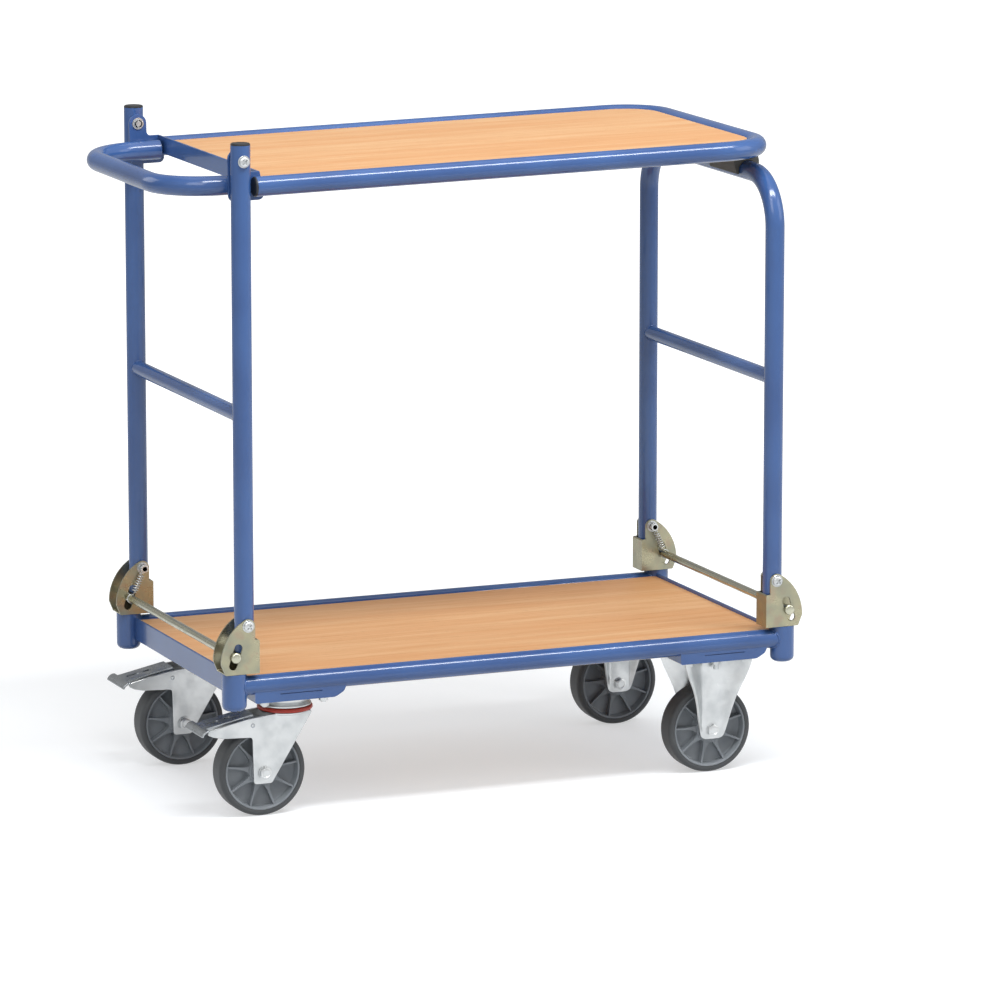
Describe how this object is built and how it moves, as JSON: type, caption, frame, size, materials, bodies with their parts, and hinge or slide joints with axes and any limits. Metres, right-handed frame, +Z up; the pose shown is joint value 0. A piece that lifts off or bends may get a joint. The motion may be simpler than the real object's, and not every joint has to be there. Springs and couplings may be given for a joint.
{
  "type": "folding serving trolley",
  "caption": "Folding serving trolley: a wheeled lower deck with a wood panel, hinged tubular end frames, a swing-over upper deck with a push handle, and braked swivel casters.",
  "frame": {"origin": "on the floor, below the middle of the overall box", "axes": "+X from the handle end to the hoop end, +Y across the trolley to the far side, +Z up out of the decks"},
  "size_m": [0.9324, 0.475, 0.9367],
  "materials": {
    "blue_paint": "smooth blue powder coat on steel tube",
    "beech": "beech-look board, satin, grain along the trolley",
    "yellow_zinc": "yellow passivated zinc on pressed sheet and rod",
    "bright_zinc": "bright zinc plating",
    "black_plastic": "black moulded plugs",
    "clip_rubber": "dark grey, slightly flexible",
    "tyre_rubber": "solid grey rubber tyre",
    "rim_plastic": "grey moulded wheel body",
    "red_seal": "red dust ring of the swivel race",
    "pedal_steel": "dark steel brake pedal"
  },
  "bodies": {
    "chassis": {"chassis_frame": "blue_paint", "lower_panel": "beech", "hinge_bracket_left_near": "yellow_zinc", "hinge_bracket_left_far": "yellow_zinc", "hinge_bracket_right_near": "yellow_zinc", "hinge_bracket_right_far": "yellow_zinc", "hinge_bolt_left_near": "bright_zinc", "hinge_bolt_left_far": "bright_zinc", "hinge_bolt_right_near": "bright_zinc", "hinge_bolt_right_far": "bright_zinc", "lock_spring_left_near": "bright_zinc", "lock_spring_left_far": "bright_zinc", "lock_spring_right_near": "bright_zinc", "lock_spring_right_far": "bright_zinc", "swivel_top_near": "bright_zinc", "swivel_top_far": "bright_zinc", "dust_seal_near": "red_seal", "dust_seal_far": "red_seal", "fixed_fork_near": "bright_zinc", "fixed_fork_far": "bright_zinc", "fixed_near_axle": "bright_zinc", "fixed_far_axle": "bright_zinc"},
    "lock_rod_left": {"lock_rod_left": "yellow_zinc"},
    "lock_rod_right": {"lock_rod_right": "yellow_zinc"},
    "left_frame": {"upright_near": "blue_paint", "upright_far": "blue_paint", "upright_cap_near": "black_plastic", "upright_cap_far": "black_plastic", "deck_bolt_near": "bright_zinc", "deck_bolt_far": "bright_zinc", "left_cross_tube": "blue_paint"},
    "right_frame": {"right_hoop": "blue_paint", "right_cross_tube": "blue_paint"},
    "upper_deck": {"deck_tube": "blue_paint", "deck_panel": "beech", "deck_end_bar": "blue_paint", "deck_handle": "blue_paint", "deck_slat_1": "blue_paint", "deck_slat_2": "blue_paint", "deck_slat_3": "blue_paint", "deck_lug_near": "blue_paint", "deck_lug_far": "blue_paint", "deck_plug_near": "black_plastic", "deck_plug_far": "black_plastic", "snap_clip_near": "clip_rubber", "snap_clip_far": "clip_rubber"},
    "swivel_near": {"swivel_fork_near": "bright_zinc", "swivel_near_axle": "bright_zinc"},
    "swivel_far": {"swivel_fork_far": "bright_zinc", "swivel_far_axle": "bright_zinc"},
    "brake_near": {"brake_pedal_near": "pedal_steel"},
    "brake_far": {"brake_pedal_far": "pedal_steel"},
    "swivel_wheel_near": {"swivel_near_tyre": "tyre_rubber", "swivel_near_rim": "rim_plastic"},
    "swivel_wheel_far": {"swivel_far_tyre": "tyre_rubber", "swivel_far_rim": "rim_plastic"},
    "fixed_wheel_near": {"fixed_near_tyre": "tyre_rubber", "fixed_near_rim": "rim_plastic"},
    "fixed_wheel_far": {"fixed_far_tyre": "tyre_rubber", "fixed_far_rim": "rim_plastic"}
  },
  "joints": [
    {"name": "left_fold", "type": "hinge", "parent": "chassis", "child": "left_frame", "pos_m": [-0.36325, 0, 0.279], "axis": [0, 1, 0], "range_deg": [0, 88.5]},
    {"name": "deck_swing", "type": "hinge", "parent": "left_frame", "child": "upper_deck", "pos_m": [-0.36325, 0, 0.9126], "axis": [0, 1, 0], "range_deg": [-269.1, 0]},
    {"name": "right_fold", "type": "hinge", "parent": "chassis", "child": "right_frame", "pos_m": [0.42675, 0, 0.279], "axis": [0, 1, 0], "range_deg": [-96.2, 0]},
    {"name": "lock_rod_left_slide", "type": "slide", "parent": "chassis", "child": "lock_rod_left", "axis": [-0.3065, 0, -0.9519], "range_m": [0, 0.0115], "stiffness_N_per_m": 1500, "springref_m": -0.012, "deforming": ["lock_spring_left_near", "lock_spring_left_far"]},
    {"name": "lock_rod_right_slide", "type": "slide", "parent": "chassis", "child": "lock_rod_right", "axis": [0.3065, 0, -0.9519], "range_m": [0, 0.0115], "stiffness_N_per_m": 1500, "springref_m": -0.012, "deforming": ["lock_spring_right_near", "lock_spring_right_far"]},
    {"name": "swivel_near_turn", "type": "hinge", "parent": "chassis", "child": "swivel_near", "pos_m": [-0.28525, -0.1625, 0.1455], "axis": [0, 0, 1], "continuous": true},
    {"name": "swivel_far_turn", "type": "hinge", "parent": "chassis", "child": "swivel_far", "pos_m": [-0.28525, 0.1625, 0.1455], "axis": [0, 0, 1], "continuous": true},
    {"name": "brake_near_press", "type": "hinge", "parent": "swivel_near", "child": "brake_near", "pos_m": [-0.34125, -0.1625, 0.13], "axis": [0, 1, 0], "range_deg": [-8, 0]},
    {"name": "brake_far_press", "type": "hinge", "parent": "swivel_far", "child": "brake_far", "pos_m": [-0.34125, 0.1625, 0.13], "axis": [0, 1, 0], "range_deg": [-8, 0]},
    {"name": "swivel_wheel_near_spin", "type": "hinge", "parent": "swivel_near", "child": "swivel_wheel_near", "pos_m": [-0.32425, -0.1625, 0.0625], "axis": [0, 1, 0], "continuous": true},
    {"name": "swivel_wheel_far_spin", "type": "hinge", "parent": "swivel_far", "child": "swivel_wheel_far", "pos_m": [-0.32425, 0.1625, 0.0625], "axis": [0, 1, 0], "continuous": true},
    {"name": "fixed_wheel_near_spin", "type": "hinge", "parent": "chassis", "child": "fixed_wheel_near", "pos_m": [0.34875, -0.1625, 0.0625], "axis": [0, 1, 0], "continuous": true},
    {"name": "fixed_wheel_far_spin", "type": "hinge", "parent": "chassis", "child": "fixed_wheel_far", "pos_m": [0.34875, 0.1625, 0.0625], "axis": [0, 1, 0], "continuous": true}
  ],
  "couplings": [
    {"joint": "deck_swing", "follows": "left_fold", "ratio": -3.04}
  ]
}
